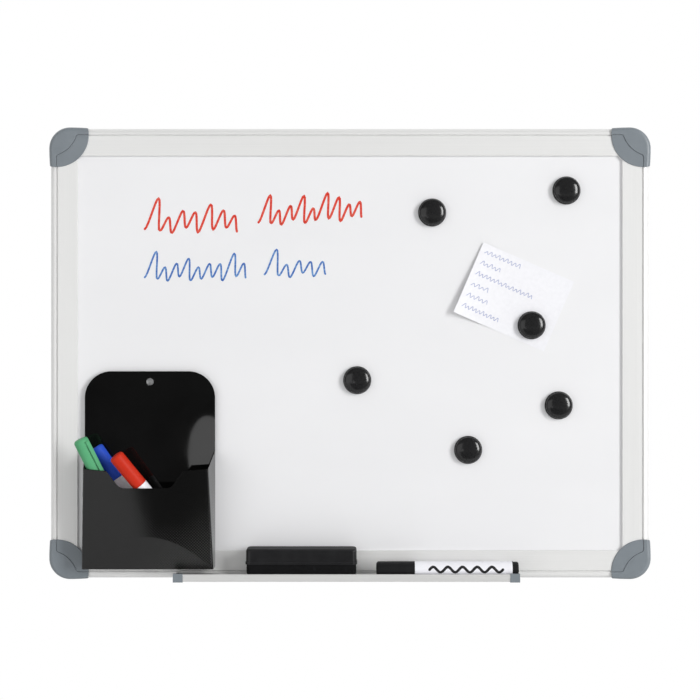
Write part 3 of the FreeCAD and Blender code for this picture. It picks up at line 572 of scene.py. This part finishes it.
# %% Glossy marker plastics
def marker_plastic(name, dark, light, gloss=0.15, shine=(0.42, 0.52)):
    material, tree, shader = new_finish(name, Specular_IOR_Level=gloss)
    flow = grain(tree, 45.0)
    tree.links.new(ramp(tree, flow, dark, light), shader.inputs["Base Color"])
    tree.links.new(numbers(tree, flow, *shine), shader.inputs["Roughness"])
    relief(tree, shader, grain(tree, 1300.0), 0.003 * MM, edge=0.3 * MM)
    return material


barrel_tones = ((0.86, 0.86, 0.9), (0.89, 0.89, 0.93))
barrel_white = marker_plastic("barrel_white", *barrel_tones, gloss=0.3, shine=(0.25, 0.35))
INKS = ("black", "green", "blue", "red")
cap_tones = {
    "black": ((0.012, 0.012, 0.013), (0.016, 0.016, 0.017)),
    "green": ((0.1, 0.39, 0.185), (0.115, 0.43, 0.205)),
    "blue": ((0.026, 0.085, 0.58), (0.032, 0.1, 0.64)),
    "red": ((0.55, 0.025, 0.008), (0.61, 0.032, 0.012)),
}
for ink in INKS:
    dress(barrel_white, ink + "_marker_barrel")
    coloured = marker_plastic(ink + "_cap_plastic", *cap_tones[ink])
    dress(coloured, ink + "_marker_cap", ink + "_marker_end_plug")

# %% Fibres inside the markers
ink_tones = {
    "black": (0.01, 0.01, 0.012),
    "green": (0.01, 0.16, 0.05),
    "blue": (0.01, 0.02, 0.2),
    "red": (0.4, 0.01, 0.01),
}
PALE_SHARE = 0.5
PALE_LIFT = 0.12
for ink in INKS:
    soaked, tree, shader = new_finish(ink + "_soaked_fibre", Roughness=0.85)
    strands = grain(tree, 1500.0, (1, 1, 0.3), detail=4.0)
    pale = tuple(PALE_SHARE * v + PALE_LIFT for v in ink_tones[ink])
    tree.links.new(ramp(tree, strands, ink_tones[ink], pale), shader.inputs["Base Color"])
    relief(tree, shader, strands, 0.08 * MM)
    dress(soaked, ink + "_marker_nib", ink + "_marker_ink_reservoir")

# %% [markdown]
# ## Pen pocket
# The pocket is folded from two black plastic sheets. The back plate is polished and mirrors the room. The
# pouch is embossed with rows of tiny dots on the slant, pressed deeper towards its lower right, which break
# every reflection into grains. Two crossed waves multiplied give a regular field of dots; as relief they
# catch the light just as the real embossing does. The dot tops are also coloured lighter, more so towards
# the lower right: painted glints.

# %% Polished back plate
polished, tree, shader = new_finish("polished_black", Specular_IOR_Level=0.3)
drift = grain(tree, 25.0)
tree.links.new(ramp(tree, drift, (0.003, 0.003, 0.003), (0.005, 0.005, 0.005)), shader.inputs["Base Color"])
tree.links.new(numbers(tree, drift, 0.02, 0.04), shader.inputs["Roughness"])
relief(tree, shader, drift, 0.004 * MM, edge=0.2 * MM)
dress(polished, "pocket_back")

# %% Embossed pouch
DOT_PITCH = 2.0 * MM
WAVES_PER_SCALE = 20


def slanted_wave(tree, turn):
    """Even ridges across the sheet's face, turned by an angle."""
    ridges = tree.nodes.new("ShaderNodeTexWave")
    ridges.inputs["Scale"].default_value = 2 * math.pi / (DOT_PITCH * WAVES_PER_SCALE)
    tree.links.new(own_place(tree, turn=(0, turn, 0)), ridges.inputs["Vector"])
    return ridges.outputs["Fac"]


embossed, tree, shader = new_finish("embossed_black", Specular_IOR_Level=0.6)
dots = product(tree, slanted_wave(tree, math.radians(45)), slanted_wave(tree, math.radians(-45)))
sheet_place = axes(tree, own_place(tree))
to_lower_right = tree.nodes.new("ShaderNodeMath")
to_lower_right.operation = "SUBTRACT"
tree.links.new(sheet_place["X"], to_lower_right.inputs[0])
tree.links.new(sheet_place["Z"], to_lower_right.inputs[1])
deeper_and_brighter = numbers(tree, to_lower_right.outputs[0], 0.12, 1.0, low=-0.02, high=0.05)
pressed_dots_and_glints = product(tree, dots, deeper_and_brighter)
# Painted glints: the dot tops are coloured lighter, more so towards the lower right.
painted_dot_glints = ramp(tree, pressed_dots_and_glints, (0.0045, 0.0045, 0.0045), (0.045, 0.045, 0.042), low=0.2, high=0.9)
tree.links.new(painted_dot_glints, shader.inputs["Base Color"])
tree.links.new(numbers(tree, grain(tree, 30.0), 0.08, 0.12), shader.inputs["Roughness"])
relief(tree, shader, pressed_dots_and_glints, 0.16 * MM, edge=0.3 * MM)
dress(embossed, "pocket_pouch")

# %% [markdown]
# ## Magnets
# Each magnet is a domed cap of glossy black plastic over a grey ferrite disc; the pocket and the eraser hold
# soft magnetic rubber. The solids' caps are a little flat on top; a real one is blown up like a cushion, and
# that fuller dome is what draws the lamp out into a streak. Such a cap is round, so we turn it as on a lathe:
# a profile from the axis round the rim and back to the axis, repeated in rings.

# %% Finishes for caps, ferrite and rubber
magnet_black, tree, shader = new_finish("magnet_black", Specular_IOR_Level=0.5)
dust = grain(tree, 500.0)
cap_tone = ramp(tree, dust, (0.012, 0.012, 0.0125), (0.017, 0.017, 0.0175))
tree.links.new(cap_tone, shader.inputs["Base Color"])
tree.links.new(numbers(tree, dust, 0.14, 0.19), shader.inputs["Roughness"])
relief(tree, shader, dust, 0.0001 * MM)
MAGNETS = "abcdef"

ferrite, tree, shader = new_finish("ferrite", Roughness=0.7, Metallic=0.3)
crumbs = grain(tree, 1600.0, detail=5.0)
tree.links.new(ramp(tree, crumbs, (0.05, 0.05, 0.054), (0.1, 0.1, 0.105)), shader.inputs["Base Color"])
relief(tree, shader, crumbs, 0.05 * MM)
dress(ferrite, *["magnet_" + letter + "_disc" for letter in MAGNETS])

rubber, tree, shader = new_finish("magnetic_rubber", Roughness=0.8)
lines = grain(tree, 900.0, (0.05, 1, 1))
tree.links.new(ramp(tree, lines, (0.035, 0.035, 0.035), (0.07, 0.07, 0.07)), shader.inputs["Base Color"])
relief(tree, shader, lines, 0.06 * MM)
dress(rubber, "eraser_magnet", "pocket_magnet_strips")

# %% Turned magnet caps
TURN_STEPS = 72
DOME_STEPS = 16
DOME_RISE = 4.4 * MM
CAP_RIM = 2.0 * MM
CAP_STEP = 0.8 * MM
CAP_SOFT = 0.3 * MM
DISC_PLAY = 0.05 * MM
CREASE = math.radians(35)


def cap_profile(radius, height, room, room_top):
    """(radius, height) pairs from the axis inside the cap, round its rim and over the dome."""
    waist = radius - CAP_STEP
    dome_foot = height - DOME_RISE
    inside = [(0, room_top), (room, room_top), (room, 0)]
    rim = [
        (radius - CAP_SOFT, 0),
        (radius, CAP_SOFT),
        (radius, CAP_RIM - CAP_SOFT),
        (radius - CAP_SOFT, CAP_RIM),
        (waist, CAP_RIM),
    ]
    angles = [math.pi / 2 * part / DOME_STEPS for part in range(DOME_STEPS + 1)]
    return inside + rim + [(waist * math.cos(a), dome_foot + DOME_RISE * math.sin(a)) for a in angles]


def turned(name, profile, foot):
    """A mesh turned about the board's normal at a foot point; the profile starts and ends on that axis."""
    lathe = bmesh.new()
    rings = []
    for radius, height in profile[1:-1]:
        ring = []
        for part in range(TURN_STEPS):
            angle = 2 * math.pi * part / TURN_STEPS
            place = Vector((radius * math.cos(angle), -height, radius * math.sin(angle)))
            ring.append(lathe.verts.new(foot + place))
        rings.append(ring)
    for ring, (_, height) in ((rings[0], profile[0]), (rings[-1], profile[-1])):
        tip = lathe.verts.new(foot + Vector((0, -height, 0)))
        for k in range(TURN_STEPS):
            lathe.faces.new((ring[k], ring[k - 1], tip))
    for here, there in zip(rings, rings[1:]):
        for k in range(TURN_STEPS):
            lathe.faces.new((here[k - 1], here[k], there[k], there[k - 1]))
    bmesh.ops.recalc_face_normals(lathe, faces=lathe.faces)
    mesh = bpy.data.meshes.new(name)
    lathe.to_mesh(mesh)
    lathe.free()
    mesh.shade_smooth()
    mesh.set_sharp_from_angle(angle=CREASE)
    piece = bpy.data.objects.new(name, mesh)
    scene.collection.objects.link(piece)
    return piece


for letter in MAGNETS:
    low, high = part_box("magnet_" + letter + "_cap")
    disc_low, disc_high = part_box("magnet_" + letter + "_disc")
    foot = Vector(((low.x + high.x) / 2, high.y, (low.z + high.z) / 2))
    disc_room = (disc_high.x - disc_low.x) / 2 + DISC_PLAY
    disc_top = high.y - disc_low.y + DISC_PLAY
    profile = cap_profile((high.x - low.x) / 2, high.y - low.y, disc_room, disc_top)
    dome = turned("magnet_" + letter + "_dome", profile, foot)
    dome.data.materials.append(magnet_black)
    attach(dome, "magnet_" + letter)
    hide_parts("magnet_" + letter + "_cap")
print("turned caps:", len(MAGNETS), "of", len(dome.data.polygons), "faces")

# %% [markdown]
# ## The note
# Plain writing paper: brighter than the lacquer, dull, with a faint cloud where the fibres lie thicker. The
# solid already curls off the board at its lower left, so the paper only needs its finish.

# %% Paper
paper, tree, shader = new_finish("note_paper", Roughness=0.9, Specular_IOR_Level=0.2)
pulp = grain(tree, 260.0, detail=5.0)
tree.links.new(ramp(tree, pulp, (0.86, 0.86, 0.89), (0.9, 0.9, 0.93)), shader.inputs["Base Color"])
relief(tree, shader, pulp, 0.03 * MM)
dress(paper, "note_sheet")

# %% [markdown]
# ## Ink on the board
# Someone has tried the pens: two lines of scribble, red above blue. Dried board ink is a film that you could
# peel off, so it is a thin ribbon lying on the sheet, not a patch of colour in the lacquer. A stroke is a
# row of humps of different heights. A ray shot at the solid from the front tells each point of the ribbon
# where the surface is, so the same tool will later write on curled paper and round a barrel.

# %% Tools: surface finder and ink ribbon
RAY_START = -0.2
FILM = 0.05 * MM
END_SHARES = (0.97, 0.8, 0.45)


def surface_of(name):
    """A function that gives the front surface of a solid at a place seen from the front."""
    mesh = solids[name].data
    tree = BVHTree.FromPolygons([v.co for v in mesh.vertices], [tuple(p.vertices) for p in mesh.polygons])

    def find(x, z):
        hit, normal, _, _ = tree.ray_cast(Vector((x, RAY_START, z)), Vector((0, 1, 0)))
        return hit, normal

    return find


def stations(line, width):
    """Places along a stroke with its direction and half width at each; both ends are rounded off."""
    half = width / 2
    spots = [Vector(point) for point in line]
    neighbours = zip(spots[:1] + spots[:-1], spots[1:] + spots[-1:])
    ways = [(after - before).normalized() for before, after in neighbours]
    start = [(spots[0] - ways[0] * half * s, ways[0], half * math.sqrt(1 - s * s)) for s in END_SHARES]
    finish = [(spots[-1] + ways[-1] * half * s, ways[-1], half * math.sqrt(1 - s * s)) for s in END_SHARES]
    return start + [(spot, way, half) for spot, way in zip(spots, ways)] + finish[::-1]


def ink_ribbon(name, lines, width, find, ink, body, columns=2):
    """One mesh of flat strokes on a solid's front: each line of (x, z) points becomes a strip."""
    film = bmesh.new()
    for line in lines:
        rows = []
        for spot, way, half in stations(line, width):
            row = []
            for column in range(columns):
                aside = half * (1 - 2 * column / (columns - 1))
                hit, normal = find(spot.x - way.y * aside, spot.y + way.x * aside)
                row.append(film.verts.new(hit + normal * FILM))
            rows.append(row)
        for here, there in zip(rows, rows[1:]):
            for column in range(columns - 1):
                film.faces.new((here[column], here[column + 1], there[column + 1], there[column]))
    mesh = bpy.data.meshes.new(name)
    film.to_mesh(mesh)
    film.free()
    mesh.materials.append(ink)
    piece = bpy.data.objects.new(name, mesh)
    scene.collection.objects.link(piece)
    thicken = piece.modifiers.new("film", "SOLIDIFY")
    thicken.thickness = FILM
    thicken.offset = 0
    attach(piece, body)
    print(name, len(lines), "strokes,", len(mesh.polygons), "faces")


# %% Scribble and ink finish
HUMP_STEPS = 14
LEAST_WIDTH = 0.6
WAVER_SHARE = 0.09
WAVER_TURN = 2.4


def scribble(start, end, heights, slant=0.2):
    """Centre line of a wavering row of humps between two (x, z) points; taller humps are wider."""
    tallest = max(heights)
    widths = [LEAST_WIDTH + (1 - LEAST_WIDTH) * height / tallest for height in heights]
    points = []
    for k, height in enumerate(heights):
        for part in range(HUMP_STEPS):
            share = part / HUMP_STEPS
            along = (sum(widths[:k]) + widths[k] * share) / sum(widths)
            up = height * (1 - math.cos(2 * math.pi * share)) / 2
            waver = WAVER_SHARE * tallest * math.sin(WAVER_TURN * (k + share) + height / tallest)
            x = start[0] + (end[0] - start[0]) * along + slant * (up + waver)
            z = start[1] + (end[1] - start[1]) * along + up + waver
            points.append((x, z))
    return points


def board_ink(name, full, thin):
    material, tree, shader = new_finish(name, Roughness=0.45)
    streaks = grain(tree, 500.0, (0.35, 1, 1))
    tree.links.new(ramp(tree, streaks, full, thin, low=0.42, high=0.75), shader.inputs["Base Color"])
    relief(tree, shader, streaks, 0.01 * MM)
    return material


red_ink = board_ink("red_board_ink", (0.7, 0.028, 0.01), (0.78, 0.14, 0.09))
blue_ink = board_ink("blue_board_ink", (0.035, 0.14, 0.47), (0.2, 0.4, 0.7))
print("ink finishes ready")

# %% Two lines of scribble on the sheet
sheet_face = surface_of("writing_sheet")
RED_STROKE = 2.3 * MM
BLUE_STROKE = 1.84 * MM


def sheet_scribble(start, end, heights):
    """A scribble given in millimetres from the middle of the board."""
    start, end = ([v * MM for v in point] for point in (start, end))
    return scribble(start, end, [v * MM for v in heights])


red_lines = [
    sheet_scribble((-206, 122), (-112, 124), (31, 16, 19, 17, 28, 17, 15)),
    sheet_scribble((-92, 129), (12, 136), (27, 15, 16, 26, 15, 25, 24, 15, 14)),
]
blue_lines = [
    sheet_scribble((-206, 74), (-104, 75), (26, 14, 15, 20, 14, 13, 16, 25, 13)),
    sheet_scribble((-86, 77), (-24, 79), (25, 13, 14, 12, 15)),
]
ink_ribbon("red_scribble", red_lines, RED_STROKE, sheet_face, red_ink, "board")
ink_ribbon("blue_scribble", blue_lines, BLUE_STROKE, sheet_face, blue_ink, "board")

# %% [markdown]
# ## Pen lines on the note
# Six short rows of ballpoint run across the paper. They are laid out in the note's own directions, along and
# down from its upper left corner, and dropped on the curled sheet by the same surface finder.

# %% Note rows
NOTE_CORNER = (133.62 * MM, 111.0 * MM)
NOTE_TURN = math.radians(23.5)
ROW_MARGIN = 5.0
FIRST_ROW = 9.5
ROW_PITCH = 11.6
ROW_LENGTHS = (39, 22, 62, 19, 23, 40)
HUMP_PITCH = 4
LEAST_HUMPS = 4
HUMP_LOW = 2.2
HUMP_MORE = 1.9
HUMP_TURN = 1.7
PEN_STROKE = 0.55 * MM

pen_blue, tree, shader = new_finish("ballpoint_blue", Roughness=0.5)
skips = grain(tree, 900.0)
tree.links.new(ramp(tree, skips, (0.2, 0.24, 0.5), (0.42, 0.46, 0.68)), shader.inputs["Base Color"])


def on_note(along, down):
    x = NOTE_CORNER[0] + (along * math.cos(NOTE_TURN) - down * math.sin(NOTE_TURN)) * MM
    z = NOTE_CORNER[1] - (along * math.sin(NOTE_TURN) + down * math.cos(NOTE_TURN)) * MM
    return x, z


rows = []
for k, length in enumerate(ROW_LENGTHS):
    count = max(LEAST_HUMPS, length // HUMP_PITCH)
    humps = [HUMP_LOW + HUMP_MORE * abs(math.sin(HUMP_TURN * n + k)) for n in range(count)]
    row = scribble((ROW_MARGIN, 0.0), (ROW_MARGIN + length, 0.0), humps)
    rows.append([on_note(along, FIRST_ROW + k * ROW_PITCH - up) for along, up in row])
ink_ribbon("note_rows", rows, PEN_STROKE, surface_of("note_sheet"), pen_blue, "note")

# %% [markdown]
# ## Print on the black marker
# The barrel carries a plain printed wave. Print is ink on a round wall, so the ribbon tool wraps it: rays
# from the front land on the barrel's curve.

# %% Printed wave
WAVE_START = 78 * MM
WAVE_LENGTH = 72 * MM
WAVE_HEIGHT = 2.6 * MM
WAVE_STROKE = 2.6 * MM
WAVE_COUNT = 5
WAVE_STEPS = 90
WAVE_COLUMNS = 7

barrel_low, barrel_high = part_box("black_marker_barrel")
barrel_axis = (barrel_low.z + barrel_high.z) / 2
print_ink = board_ink("print_black", (0.01, 0.01, 0.011), (0.02, 0.02, 0.022))
wave = []
for part in range(WAVE_STEPS + 1):
    share = part / WAVE_STEPS
    up = WAVE_HEIGHT * math.sin(2 * math.pi * WAVE_COUNT * share)
    wave.append((WAVE_START + WAVE_LENGTH * share, barrel_axis + up))
barrel_face = surface_of("black_marker_barrel")
ink_ribbon("printed_wave", [wave], WAVE_STROKE, barrel_face, print_ink, "black_pen", WAVE_COLUMNS)
